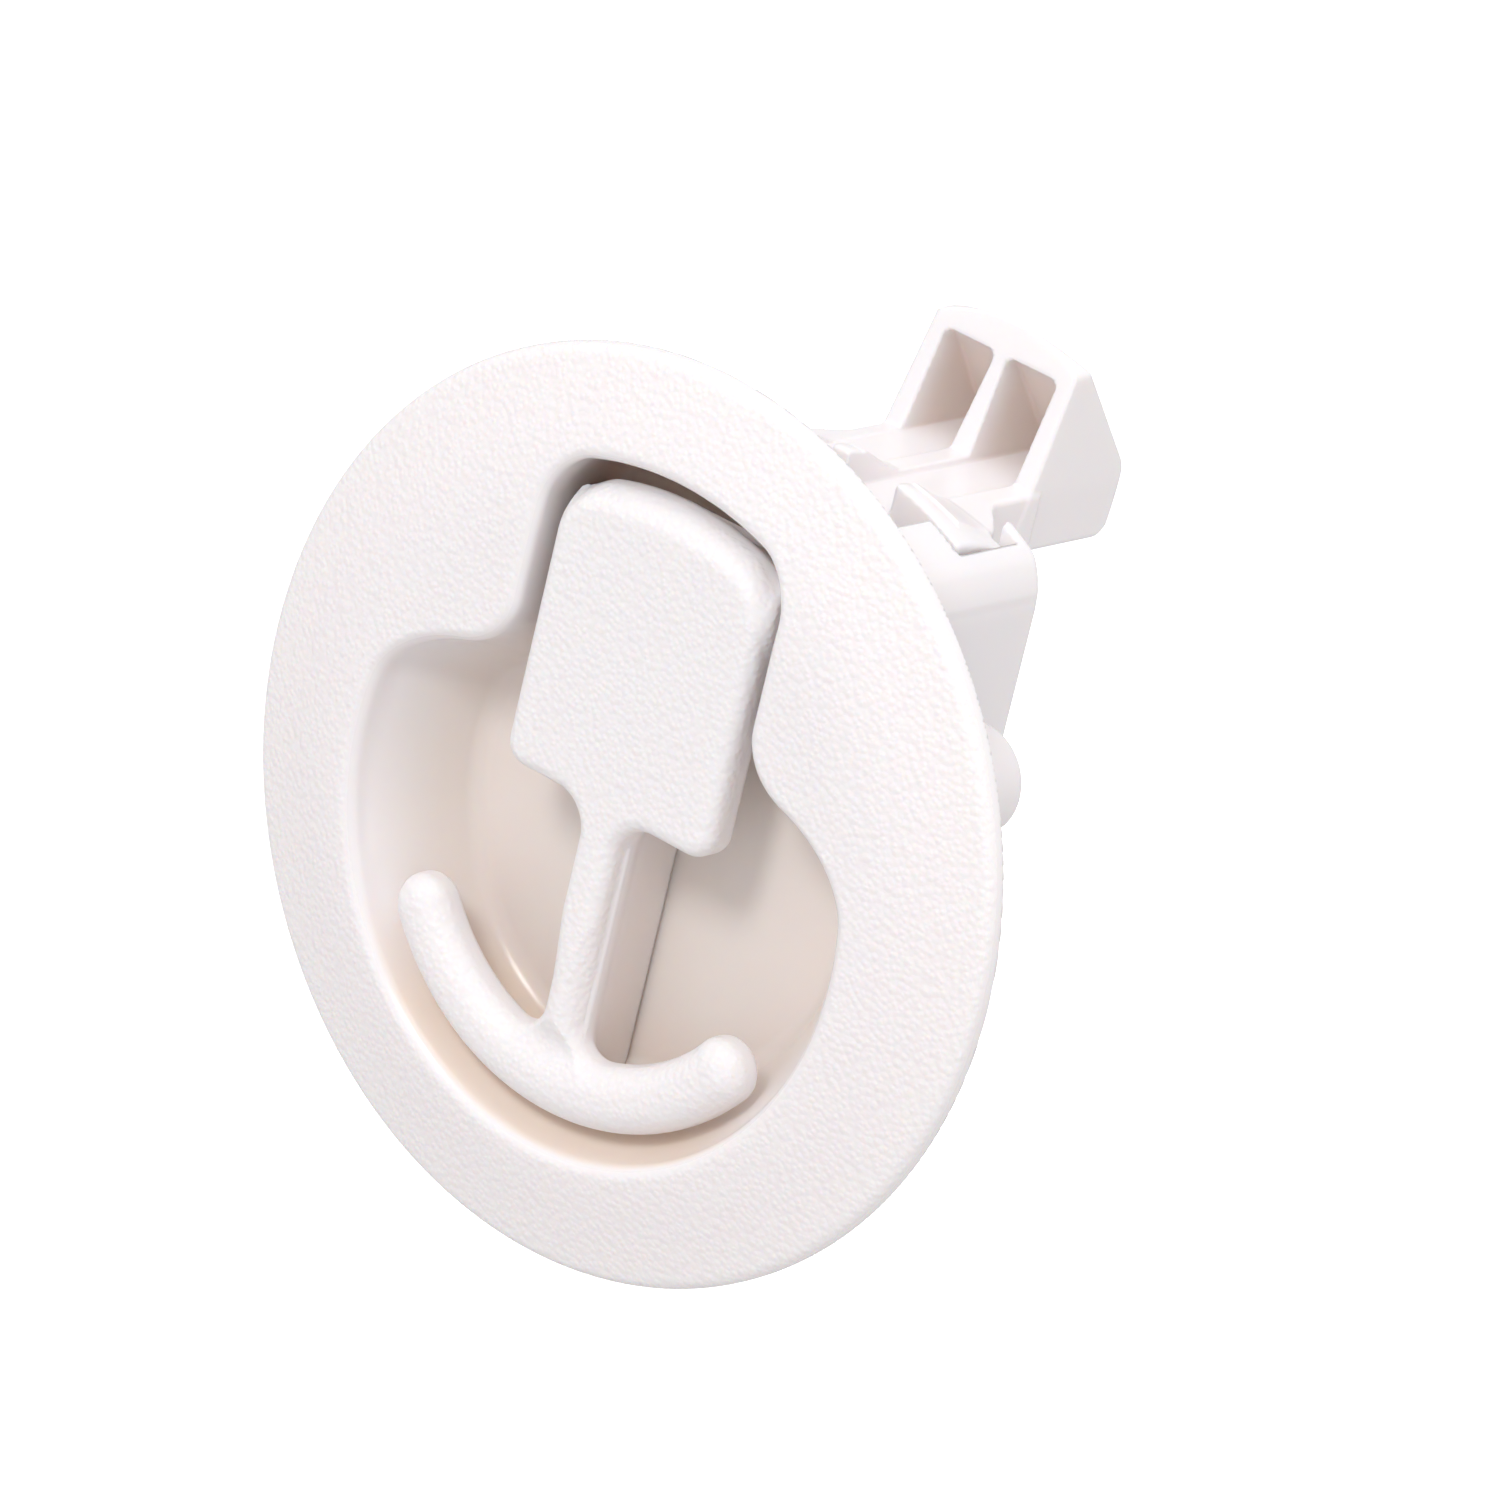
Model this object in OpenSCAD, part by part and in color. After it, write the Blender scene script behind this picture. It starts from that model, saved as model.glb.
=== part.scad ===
// Round flush pull latch: a bezel with a finger cup, a T-handle on a hinge pin,
// and a sprung bolt that the handle draws down inside a box behind the cup.
// X runs to the right seen from the front, Y runs back into the panel, Z runs up
// towards the bolt. The origin is the centre of the face that seats on the panel.

/* [Bezel and barrel] */
// Diameter of the round bezel
bezel_d = 64; // [60:0.5:68]
// Thickness of the bezel's rim
rim_t = 1.5; // [1.2:0.1:1.8]
// Height of the raised middle above the panel
plateau_h = 3.6; // [3.4:0.1:4]
// Radius where the sloping band reaches the raised middle
plateau_r = 24.6; // [24.2:0.1:25.4]
// Diameter of the barrel that fills the panel hole
barrel_d = 50.2; // [50:0.1:50.8]
// Length of the barrel behind the panel face
barrel_l = 8; // [7.6:0.1:8.4]

/* [Finger cup] */
// Radius of the cup's mouth
cup_r = 21.3; // [21:0.1:21.6]
// Radius of the cup's flat floor
cup_floor_r = 16.6; // [16:0.1:17]
// Depth of the cup's floor behind the panel face
cup_floor_y = 4.6; // [4.5:0.05:4.7]
// Distance of the cup's centre below the bezel's centre
cup_drop = 2.3; // [2.2:0.1:2.4]
// Half width of the slot above the cup
slot_hw = 10.5; // [10.4:0.1:10.8]
// Radius of the slot's top at the front
slot_top_r = 25; // [24.8:0.1:25.4]

/* [T-handle] */
// Half width of the paddle
paddle_hw = 9.2; // [9:0.1:9.4]
// Radius of the paddle's rounded top
paddle_top_r = 22.9; // [22.4:0.1:23]
// Lower edge of the paddle
paddle_bottom_z = 0.8; // [0:0.1:2]
// Thickness of the paddle and the crossbar
paddle_t = 3; // [2.8:0.1:3.2]
// Width of the stem
stem_w = 3.2; // [2.8:0.1:3.6]
// Outer radius of the curved crossbar
bar_outer_r = 19.3; // [19:0.1:19.5]
// Width of the curved crossbar
bar_w = 4.7; // [4.2:0.1:5]
// Angle from straight down to each end of the crossbar
bar_half_angle = 53; // [48:1:55]

/* [Hinge] */
// Diameter of the hinge pin
pin_d = 1.6; // [1.5:0.05:1.65]
// Depth of the pin's axis behind the panel face
pin_y = 0.85; // [0.82:0.01:0.9]
// Height of the pin's axis
pin_z = 18.3; // [18:0.1:18.4]
// Length of the lug from the pin's axis to the middle of its nose
lug_l = 10; // [9.8:0.1:10]

/* [Rear box] */
// Half width of the box
box_hw = 13.9; // [13.6:0.1:14.2]
// Rear face of the box
box_y = 20.9; // [20.8:0.1:21.2]
// Lower end of the box
box_bottom_z = -16.2; // [-17:0.1:-16]
// Thickness of the box's rear and lower walls
box_wall = 1; // [0.8:0.1:1.2]

/* [Bolt] */
// Half width of the bolt's sliding block
block_hw = 11.2; // [11:0.1:11.3]
// Half width of the bolt's arm and head
head_hw = 6.7; // [6.4:0.1:6.8]
// Height of the bolt's tip
tip_z = 32; // [31:0.1:32]
// Front of the bolt's head at the arm, where it meets a keeper
head_y = 27.2; // [26.6:0.1:27.6]
// Rear of the bolt's head
head_rear_y = 37.5; // [37:0.1:38]

/* [Springs] */
// Wire diameter of the two compression springs under the bolt
coil_wire = 0.6; // [0.5:0.05:0.7]
// Outer diameter of the two compression springs
coil_d = 3.8; // [3.4:0.1:4]
// Wire diameter of the torsion spring on the hinge pin
twist_wire = 0.5; // [0.4:0.05:0.5]

/* [Hidden] */
$fn = 96;

// Running clearance between the bolt and its guides
gap = 0.35;
// Distance that the cuts run past the faces they open
over = 1;
bezel_r = bezel_d / 2;
barrel_r = barrel_d / 2;
barrel_wall = 1.7;
cup_wall = 1.5;
cup_back_y = cup_floor_y + cup_wall;
// The slot's top is lower behind the bezel, which leaves the barrel's wall above it
slot_inner_top_r = barrel_r - 0.7;
// The shoulders between the slot and the cup, and the radius of their inner ends
shoulder_z = 7.4;
shoulder_r = 4;

handle_front_y = 0.4 - plateau_h;
handle_back_y = handle_front_y + paddle_t;
// Bevel along the top of the handle's front, which swings past the top of the slot
handle_bevel = 1;
bar_mid_r = bar_outer_r - bar_w / 2;
fin_y = cup_floor_y - 0.2;
fin_bevel = 1.2;
hub_r = 3;
lug_hw = 4;
lug_r = 1.3;
// The window in the cup's floor that the lug swings in
window_hw = lug_hw + 0.6;
window_z = 9.5;
window_top_z = 22;
spring_bay_x = -6;
pin_fit = 0.05;
pin_half_l = 12.6;

// The wide part of the cavity guides the block, and the narrow part holds its ledge
cavity_hw = block_hw + gap;
throat_hw = 8.7;
guide_y = 13.5;
block_y = guide_y + gap;
block_rear_y = box_y - box_wall - gap;
cavity_rear_y = box_y - box_wall;
cavity_bottom_z = box_bottom_z + box_wall + 0.8;
block_bottom_z = 2;
block_top_z = 24.9;
// The block's top is arched across and falls away towards the arm
block_rear_z = 22.9;
block_crown_r = 26;
travel = 7;
ledge_z = pin_z - lug_r - 0.5;
ledge_t = 3;
ledge_y = cup_back_y + 0.5;
ledge_hw = throat_hw - gap;
arm_z = 17.9;
arm_t = 4.9;
arm_crown_r = 40;
arm_root_hw = 9.5;
arm_slot_hw = arm_root_hw + 0.5;
head_lean = 2.9;
head_crown_r = 14.6;
head_wall = 1.3;

spring_x = 5.6;
spring_y = (block_y + block_rear_y) / 2;
spring_top_z = 9;
spring_pocket_r = coil_d / 2 + 0.25;
spigot_r = 1;
spigot_h = 2;
coil_turns = 9;
twist_turns = 5;
twist_r = pin_d / 2 + 0.15 + twist_wire / 2;

post_r = 3.9;
post_x = 17.6;
post_z = 8.4;
post_y = 13.6;
pilot_r = 1.1;
pilot_depth = 7;

// Moves a shape drawn in front view, in X and Z, to the stretch between two depths
module slab(y0, y1) {
    translate([0, y1, 0]) rotate([90, 0, 0]) linear_extrude(y1 - y0) children();
}

// Turns a profile of radius and height in front of the panel about the Y axis
module turned(z = 0) {
    translate([0, 0, z]) rotate([90, 0, 0]) rotate_extrude() children();
}

// Draws a shape in side view, in Y and Z, and gives it a width along X
module side_slab(x0, x1) {
    translate([x0, 0, 0]) rotate([90, 0, 90]) linear_extrude(x1 - x0) children();
}

// A rod along X between two places
module rod(r, x0, x1, y, z) {
    translate([x0, y, z]) rotate([0, 90, 0]) cylinder(r = r, h = x1 - x0);
}

// A rod along Y between two depths
module post(r, y0, y1, x, z) {
    translate([x, y1, z]) rotate([90, 0, 0]) cylinder(r = r, h = y1 - y0);
}

// A block given by its lowest and highest corners
module block(low, high) {
    translate(low) cube(high - low);
}

// ---------------------------------------------------------------- housing

// The bezel's face: a rounded rim, a sloping band and a flat middle
module bezel() {
    turned() polygon([
        [0, 0], [bezel_r, 0], [bezel_r, 0.6 * rim_t], [bezel_r - 0.2, 0.86 * rim_t],
        [bezel_r - 0.6, rim_t], [plateau_r, plateau_h - 0.4], [plateau_r - 0.9, plateau_h - 0.1],
        [plateau_r - 2, plateau_h], [0, plateau_h]
    ]);
}

// The round cup, grown by a wall thickness when its outside is wanted
module cup(wall = 0) {
    floor_h = -cup_floor_y - wall;
    mouth_h = plateau_h + over;
    turned(-cup_drop) polygon([
        [0, floor_h], [cup_floor_r + wall, floor_h], [cup_r - 0.2 + wall, plateau_h - 1.2],
        [cup_r + wall, plateau_h - 0.6], [cup_r + wall, mouth_h], [0, mouth_h]
    ]);
}

// The slot above the cup, whose lower corners open out round the shoulders
module slot_outline(top_r) {
    intersection() {
        circle(r = top_r);
        translate([-slot_hw, 0]) square([2 * slot_hw, top_r]);
    }
    difference() {
        translate([-slot_hw - shoulder_r, 0]) square([2 * (slot_hw + shoulder_r), shoulder_z + shoulder_r]);
        for (side = [-1, 1])
            translate([side * (slot_hw + shoulder_r), shoulder_z + shoulder_r]) circle(r = shoulder_r);
    }
}

// The part of the cup below the shoulders, which fall away to the cup's wall
module below_shoulders() {
    polygon([
        [-bezel_r, -bezel_r], [bezel_r, -bezel_r], [21.8, 0], [20.6, 2.2], [19.2, 4.6], [17.4, 6.3],
        [15.6, shoulder_z - 0.3], [14, shoulder_z], [-14, shoulder_z], [-15.6, shoulder_z - 0.3],
        [-17.4, 6.3], [-19.2, 4.6], [-20.6, 2.2], [-21.8, 0]
    ]);
}

// The box's outline, which leans in at the top and stays just inside the barrel's radius
module box_outline() {
    polygon([
        [-box_hw, box_bottom_z], [box_hw, box_bottom_z], [box_hw, 19.2], [13.5, 20.4], [12.6, 21.6],
        [10.6, 22.65], [8.6, 23.45], [-8.6, 23.45], [-10.6, 22.65], [-12.6, 21.6], [-13.5, 20.4],
        [-box_hw, 19.2]
    ]);
}

// The pockets that keep the moulding's walls even, open at the back of the barrel
module barrel_pockets() {
    difference() {
        post(barrel_r - barrel_wall, 0.6, barrel_l + over, 0, 0);
        cup(cup_wall);
        slab(-over, box_y) box_outline();
        for (side = [-1, 1]) post(post_r, 0, post_y, side * post_x, post_z);
    }
}

// The space that the bolt slides in, open at the top
module bolt_cavity() {
    top = barrel_r + over;
    block([-cavity_hw, guide_y, cavity_bottom_z], [cavity_hw, cavity_rear_y, top]);
    block([-throat_hw, cup_back_y, cavity_bottom_z], [throat_hw, guide_y + 0.1, window_top_z]);
    block([-throat_hw, barrel_l, cavity_bottom_z], [throat_hw, guide_y + 0.1, top]);
}

// The slot for the bolt's arm in the box's rear wall
module arm_slot() {
    block([-arm_slot_hw, cavity_rear_y - over, arm_z - travel - 0.8],
          [arm_slot_hw, box_y + over, barrel_r + over]);
}

module housing() {
    color("white") difference() {
        union() {
            difference() {
                union() {
                    bezel();
                    post(barrel_r, 0, barrel_l, 0, 0);
                    slab(0, box_y) box_outline();
                    for (side = [-1, 1]) post(post_r, 0, post_y, side * post_x, post_z);
                }
                barrel_pockets();
                bolt_cavity();
                arm_slot();
            }
            for (side = [-1, 1])
                translate([side * spring_x, spring_y, cavity_bottom_z - 0.1])
                    cylinder(r = spigot_r, h = spigot_h + 0.1);
        }
        intersection() {
            cup();
            slab(-plateau_h - 2 * over, barrel_l) below_shoulders();
        }
        slab(-plateau_h - over, -0.5) slot_outline(slot_top_r);
        slab(-0.6, cup_floor_y) slot_outline(slot_inner_top_r);
        block([-window_hw, cup_floor_y - 0.1, window_z], [window_hw, barrel_l + 0.1, window_top_z]);
        rod(pin_d / 2, -barrel_r, pin_half_l, pin_y, pin_z);
        for (side = [-1, 1]) post(pilot_r, post_y - pilot_depth, post_y + over, side * post_x, post_z);
    }
}

// --------------------------------------------------------------- T-handle

// The curved crossbar with its round ends
module crossbar_outline() {
    sector = [for (a = [-bar_half_angle : bar_half_angle / 8 : bar_half_angle])
        2 * bar_outer_r * [sin(a), -cos(a)]];
    translate([0, -cup_drop]) {
        intersection() {
            difference() {
                circle(r = bar_outer_r);
                circle(r = bar_outer_r - bar_w);
            }
            polygon(concat([[0, 0]], sector));
        }
        for (side = [-1, 1])
            translate(bar_mid_r * [side * sin(bar_half_angle), -cos(bar_half_angle)])
                circle(r = bar_w / 2);
    }
}

// The paddle, the stem and the crossbar from the front
module handle_outline() {
    intersection() {
        circle(r = paddle_top_r);
        translate([-paddle_hw, paddle_bottom_z]) square([2 * paddle_hw, paddle_top_r]);
    }
    translate([-stem_w / 2, -cup_drop - bar_mid_r]) square([stem_w, bar_mid_r + cup_drop + 2]);
    crossbar_outline();
}

// The flat front of the handle, bevelled where its rounded top swings past the slot's top
module handle_plate() {
    intersection() {
        slab(handle_front_y, handle_back_y) handle_outline();
        turned() polygon([
            [0, -over], [paddle_top_r + over, -over], [paddle_top_r + over, -handle_front_y - handle_bevel - over],
            [paddle_top_r - handle_bevel, -handle_front_y], [0, -handle_front_y]
        ]);
    }
}

// The fin behind the stem, bevelled at its lower end to clear the cup's wall
module fin() {
    low_z = -cup_drop - bar_mid_r;
    side_slab(-stem_w / 2, stem_w / 2) polygon([
        [handle_back_y - 0.5, low_z], [fin_y - 2 * fin_bevel, low_z], [fin_y, low_z + fin_bevel],
        [fin_y, pin_z - 4], [handle_back_y - 0.5, pin_z - 4]
    ]);
}

// The lug behind the hinge that presses the bolt's ledge down
module lug() {
    nose_y = pin_y + lug_l;
    rod(lug_r, -lug_hw, lug_hw, nose_y, pin_z);
    block([-lug_hw, pin_y, pin_z - lug_r], [lug_hw, nose_y, pin_z + lug_r]);
}

module t_handle() {
    bay_y = pin_y - twist_r - twist_wire / 2 - 0.3;
    color("whitesmoke") difference() {
        union() {
            handle_plate();
            fin();
            rod(hub_r, -paddle_hw, paddle_hw, pin_y, pin_z);
            lug();
        }
        rod(pin_d / 2 + pin_fit, -paddle_hw - over, paddle_hw + over, pin_y, pin_z);
        block([-paddle_hw - over, bay_y, pin_z - hub_r - 0.1], [spring_bay_x, pin_y + 4, pin_z + hub_r + 0.1]);
    }
}

module handle_pin() {
    color("dimgray") rod(pin_d / 2, -pin_half_l, pin_half_l, pin_y, pin_z);
}

// ----------------------------------------------------------------- springs

// A round wire swept along a list of points, with each ring square to the wire
module wire(path, d, sides = 8) {
    n = len(path);
    rings = [for (i = [0 : n - 1])
        let (
            a = path[max(i - 1, 0)],
            b = path[min(i + 1, n - 1)],
            t = (b - a) / norm(b - a),
            u0 = cross(t, [0.123, 0.992, 0.017]),
            u = u0 / norm(u0),
            v = cross(t, u)
        )
        for (k = [0 : sides - 1])
            path[i] + d / 2 * (cos(360 * k / sides) * u + sin(360 * k / sides) * v)];
    skin = [for (i = [0 : n - 2]) for (k = [0 : sides - 1])
        let (k2 = (k + 1) % sides)
        [i * sides + k, i * sides + k2, (i + 1) * sides + k2, (i + 1) * sides + k]];
    start_cap = [for (k = [sides - 1 : -1 : 0]) k];
    end_cap = [for (k = [0 : sides - 1]) (n - 1) * sides + k];
    polyhedron(points = rings, faces = concat(skin, [start_cap], [end_cap]), convexity = 10);
}

// Height of a compression spring's wire after a number of turns, with closed ends
function coil_height(turn, turns, low, high, wire_d) =
    let (closed = wire_d * 1.05, open = (high - low - 2 * closed) / (turns - 2))
    turn < 1 ? low + closed * turn
    : turn > turns - 1 ? high - closed * (turns - turn)
    : low + closed + open * (turn - 1);

// A compression spring that stands on the floor of the cavity
module bolt_spring(x) {
    steps = 14;
    low = cavity_bottom_z + coil_wire / 2;
    high = spring_top_z - coil_wire / 2;
    r = (coil_d - coil_wire) / 2;
    path = [for (i = [0 : coil_turns * steps])
        let (turn = i / steps, a = 360 * turn)
        [x + r * cos(a), spring_y + r * sin(a), coil_height(turn, coil_turns, low, high, coil_wire)]];
    color("silver") wire(path, coil_wire);
}

module bolt_spring_left() {
    bolt_spring(-spring_x);
}

module bolt_spring_right() {
    bolt_spring(spring_x);
}

// The torsion spring on the pin, with one leg on the housing and one on the handle
module handle_spring() {
    steps = 14;
    x0 = -slot_hw + 0.25 + twist_wire / 2;
    x1 = spring_bay_x - 0.25 - twist_wire / 2;
    coil = [for (i = [0 : twist_turns * steps])
        let (f = i / (twist_turns * steps), a = 360 * twist_turns * f)
        [x0 + (x1 - x0) * f, pin_y + twist_r * sin(a), pin_z + twist_r * cos(a)]];
    leg_start = [[x0, pin_y - 0.2, pin_z + twist_r], [x0, pin_y + 2.2, pin_z + twist_r]];
    leg_end = [[x1, pin_y + 0.4, pin_z + twist_r], [x1, pin_y + 2.2, pin_z + twist_r]];
    color("gray") wire(concat([leg_start[1]], coil, [leg_end[0], leg_end[1]]), twist_wire);
}

// -------------------------------------------------------------------- bolt

// The sliding block from the side, whose top falls back to the arm
module block_profile() {
    polygon([
        [block_y, block_bottom_z], [block_rear_y, block_bottom_z], [block_rear_y, block_rear_z],
        [block_y + 1, block_top_z], [block_y, block_top_z]
    ]);
}

module bolt_block() {
    intersection() {
        side_slab(-block_hw, block_hw) block_profile();
        post(block_crown_r, block_y - over, block_rear_y + over, 0, block_top_z - block_crown_r);
    }
}

// The arm, which flares at the block and is slightly arched on top
module arm() {
    intersection() {
        translate([0, 0, arm_z]) linear_extrude(arm_t) polygon([
            [-arm_root_hw, block_rear_y - 0.2], [arm_root_hw, block_rear_y - 0.2], [arm_root_hw, 20],
            [8.6, 21.1], [7.2, 22.3], [head_hw, 23.8], [head_hw, head_y + 0.2], [-head_hw, head_y + 0.2],
            [-head_hw, 23.8], [-7.2, 22.3], [-8.6, 21.1], [-arm_root_hw, 20]
        ]);
        post(arm_crown_r, block_y, head_rear_y, 0, arm_z + arm_t - arm_crown_r);
    }
}

// The head from the side: a leaning front face and a ramp down to the rear
module head_profile() {
    floor_z = arm_z + arm_t - 0.5;
    polygon([
        [head_y - 0.1, arm_z], [head_rear_y - 0.4, arm_z], [head_rear_y, arm_z + 5.2],
        [head_y + head_lean + 0.2, tip_z], [head_y + head_lean - 0.1, tip_z],
        [head_y, floor_z], [head_y - 0.1, floor_z]
    ]);
}

module head_pocket() {
    floor_z = arm_z + arm_t;
    polygon([
        [head_y - over, floor_z], [head_rear_y - 2.4, floor_z],
        [head_y + head_lean + 0.9, tip_z - 2.4], [head_y - over, tip_z - 2.4]
    ]);
}

// The head's top edge is arched across
module head() {
    intersection() {
        side_slab(-head_hw, head_hw) head_profile();
        post(head_crown_r, head_y - over, head_rear_y + over, 0, tip_z - head_crown_r);
    }
}

module slide_bolt() {
    color("snow") difference() {
        union() {
            bolt_block();
            block([-ledge_hw, ledge_y, ledge_z - ledge_t], [ledge_hw, block_y + 0.1, ledge_z]);
            arm();
            head();
        }
        for (side = [0, 1])
            mirror([side, 0, 0]) side_slab(head_wall / 2, head_hw - head_wall) head_pocket();
        for (side = [-1, 1])
            translate([side * spring_x, spring_y, block_bottom_z - over])
                cylinder(r = spring_pocket_r, h = spring_top_z - block_bottom_z + over);
    }
}

housing();
t_handle();
handle_pin();
handle_spring();
slide_bolt();
bolt_spring_left();
bolt_spring_right();
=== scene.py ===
"""Flush pull latch: moulded plastic skins, spring wire, materials, light and camera.

The plastic pieces are written as distance fields, in millimetres and in the frame of
the CAD model: X to the right, Y back into the panel, Z up. The fields are negative
inside the plastic. They are turned into meshes on a grid, and the rounded edges and
fillets come from the way that the fields are joined.
"""
import math

import bpy
import numpy as np
from mathutils import Matrix, Vector

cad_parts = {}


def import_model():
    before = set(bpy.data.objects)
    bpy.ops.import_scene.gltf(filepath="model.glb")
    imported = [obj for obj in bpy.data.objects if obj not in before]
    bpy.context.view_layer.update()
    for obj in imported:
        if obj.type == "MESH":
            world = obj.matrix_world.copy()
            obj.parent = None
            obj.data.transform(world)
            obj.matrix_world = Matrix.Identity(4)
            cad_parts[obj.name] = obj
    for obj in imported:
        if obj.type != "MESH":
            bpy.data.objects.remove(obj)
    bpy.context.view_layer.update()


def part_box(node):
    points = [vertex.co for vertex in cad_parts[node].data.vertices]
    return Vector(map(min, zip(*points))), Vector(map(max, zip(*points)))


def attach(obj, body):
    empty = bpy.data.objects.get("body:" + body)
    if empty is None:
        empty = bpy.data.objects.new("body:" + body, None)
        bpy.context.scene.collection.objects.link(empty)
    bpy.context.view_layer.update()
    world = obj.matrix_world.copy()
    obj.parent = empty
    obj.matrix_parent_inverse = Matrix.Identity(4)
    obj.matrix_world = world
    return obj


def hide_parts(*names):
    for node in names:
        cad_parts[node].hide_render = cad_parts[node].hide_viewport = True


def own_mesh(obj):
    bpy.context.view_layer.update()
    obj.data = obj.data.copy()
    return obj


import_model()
MM = 0.001

# ------------------------------------------------------------------ sizes, in mm
housing_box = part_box("housing")
handle_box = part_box("t_handle")
bolt_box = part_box("slide_bolt")

BEZEL_R = housing_box[1][0] / MM
RIM_T = 1.5
PLATEAU_Y = housing_box[0][1] / MM
PLATEAU_R = 24.6
BARREL_R = 25.1
BARREL_L = 8.0
BARREL_WALL = 1.7
CUP_R = 21.3
CUP_FLOOR_R = 16.6
CUP_FLOOR_Y = 4.6
CUP_WALL = 1.5
CUP_Z = -2.3
MOUTH_Y = -2.6
SLOT_HW = 10.5
SLOT_TOP_R = 24.4
SHOULDER_Z = 7.4
SHOULDER_R = 4.0
BOX_HW = 13.9
BOX_LEAN = ((14.1, 19.4), (12.5, 21.7))
BOX_Y = 20.9
BOX_WALL = 1.0
BOX_BOTTOM_Z = -16.2
CAVITY_BOTTOM_Z = -14.4
CAVITY_HW = 11.55
THROAT_HW = 8.7
GUIDE_Y = 13.5
WINDOW_HW = 4.6
WINDOW_Z = (9.5, 20.4)
POST_X = 17.6
POST_Z = 8.4
POST_R = 3.9
POST_Y = 13.6
PILOT_R = 1.1
PILOT_DEPTH = 7.0

HANDLE_FRONT_Y = handle_box[0][1] / MM
PADDLE_T = 3.0
PADDLE_HW = 9.2
PADDLE_TOP_R = 22.9
PADDLE_BOTTOM_Z = 0.8
STEM_HW = 1.6
BAR_MID_R = 16.95
BAR_HW = 2.35
BAR_HALF_ANGLE = math.radians(53)
FIN_Y = 4.48
HUB_R = 3.0
LUG_HW = 4.0
LUG_L = 10.0
LUG_R = 1.3
PIN_R = 0.8
PIN_Y = 0.85
PIN_Z = 18.3
PIN_HALF_L = 12.6
SPRING_BAY_X = -6.0

BLOCK_HW = 11.2
BLOCK_Y = (13.85, 19.55)
BLOCK_BOTTOM_Z = 2.0
BLOCK_TOP_Z = 24.9
BLOCK_CROWN_R = 26.0
LEDGE_Y = 6.6
LEDGE_Z = (13.5, 16.5)
LEDGE_HW = 8.35
ARM_Z = (17.9, 22.8)
ARM_CROWN_R = 40.0
ARM_ROOT_HW = 9.5
ARM_FLARE_Y = 23.8
ARM_FLARE_L = 4.2
TRAVEL = 7.0
HEAD_HW = 6.7
HEAD_Y = (27.2, 37.5)
HEAD_FLOOR_Z = 22.3
TIP_Z = bolt_box[1][2] / MM
HEAD_LEAN = 2.9
HEAD_CROWN_R = 14.6
HEAD_WALL = 1.65
HEAD_RIB_HW = (0.9, 0.5)
HEAD_REAR_Z = ARM_Z[0] + 5.2
SPRING_X = 5.6
SPRING_Y = 16.7
SPRING_TOP_Z = 9.0
COIL_R = 1.6
COIL_WIRE = 0.6
COIL_TURNS = 9
TWIST_WIRE = 0.5
TWIST_R = 1.2
TWIST_TURNS = 5


# ------------------------------------------------------------- distance fields
def round_union(a, b, r):
    """Join two shapes with a fillet of radius r in the corner between them."""
    corner = np.hypot(np.maximum(r - a, 0), np.maximum(r - b, 0))
    return np.maximum(r, np.minimum(a, b)) - corner


def round_cut(a, b, r):
    """Keep what is in both shapes, with their common edge rounded to radius r."""
    return -round_union(-a, -b, r)


def soft_cut(a, b, k):
    """Keep what is in both shapes, blended over k where they meet at a small angle."""
    blend = np.maximum(k - np.abs(a - b), 0) / k
    return np.maximum(a, b) + blend * blend * k / 4


def disc(x, z, cx, cz, r):
    return np.hypot(x - cx, z - cz) - r


def span(v, low, high):
    """Distance to the stretch between two values."""
    return np.abs(v - (low + high) / 2) - (high - low) / 2


def brick(x, y, z, low, high, r):
    """A block with its edges rounded to radius r."""
    flat = round_cut(span(x, low[0], high[0]), span(z, low[2], high[2]), r)
    return round_cut(flat, span(y, low[1], high[1]), r)


def cone(rho, y, a, b):
    """Side of a turned shape whose profile runs from a to b, given as (radius, y)."""
    dr, dy = b[0] - a[0], b[1] - a[1]
    length = math.hypot(dr, dy)
    return ((rho - a[0]) * dy - (y - a[1]) * dr) / length


# ------------------------------------------------------------------- housing
def opening(x, y, z):
    """The finger cup and the slot above it, as the space that they leave open.

    The cup's shoulders fall away outwards, and the slot's sides have a little draft.
    """
    rho = np.hypot(x, z)
    cup_rho = np.hypot(x, z - CUP_Z)
    slope = cone(cup_rho, y, (CUP_R, MOUTH_Y), (CUP_FLOOR_R, CUP_FLOOR_Y))
    wall = soft_cut(cup_rho - CUP_R, slope, 0.8)
    shoulder = z - SHOULDER_Z + 0.12 * (np.abs(x) - 14) + 0.04 * (y + 3)
    cup = round_cut(wall, shoulder, 5.0)
    slot = round_cut(np.abs(x) - SLOT_HW + 0.02 * (y + 3), rho - SLOT_TOP_R + 0.03 * (y + 3), 2.8)
    slot = np.maximum(slot, -z)
    return round_cut(round_union(cup, slot, SHOULDER_R), y - CUP_FLOOR_Y, 0.8)


def box_outline(x, z):
    """The box from behind: it leans in at the top and ends inside the barrel's radius."""
    ax = np.abs(x)
    (low_x, low_z), (high_x, high_z) = BOX_LEAN
    run, rise = low_x - high_x, high_z - low_z
    lean = ((ax - low_x) * rise + (z - low_z) * run) / math.hypot(rise, run)
    side = soft_cut(ax - BOX_HW, lean, 1.2)
    side = round_cut(side, BOX_BOTTOM_Z - z, 1.0)
    return round_cut(side, np.hypot(x, z) - BARREL_R + 0.15, 0.3)


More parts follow.
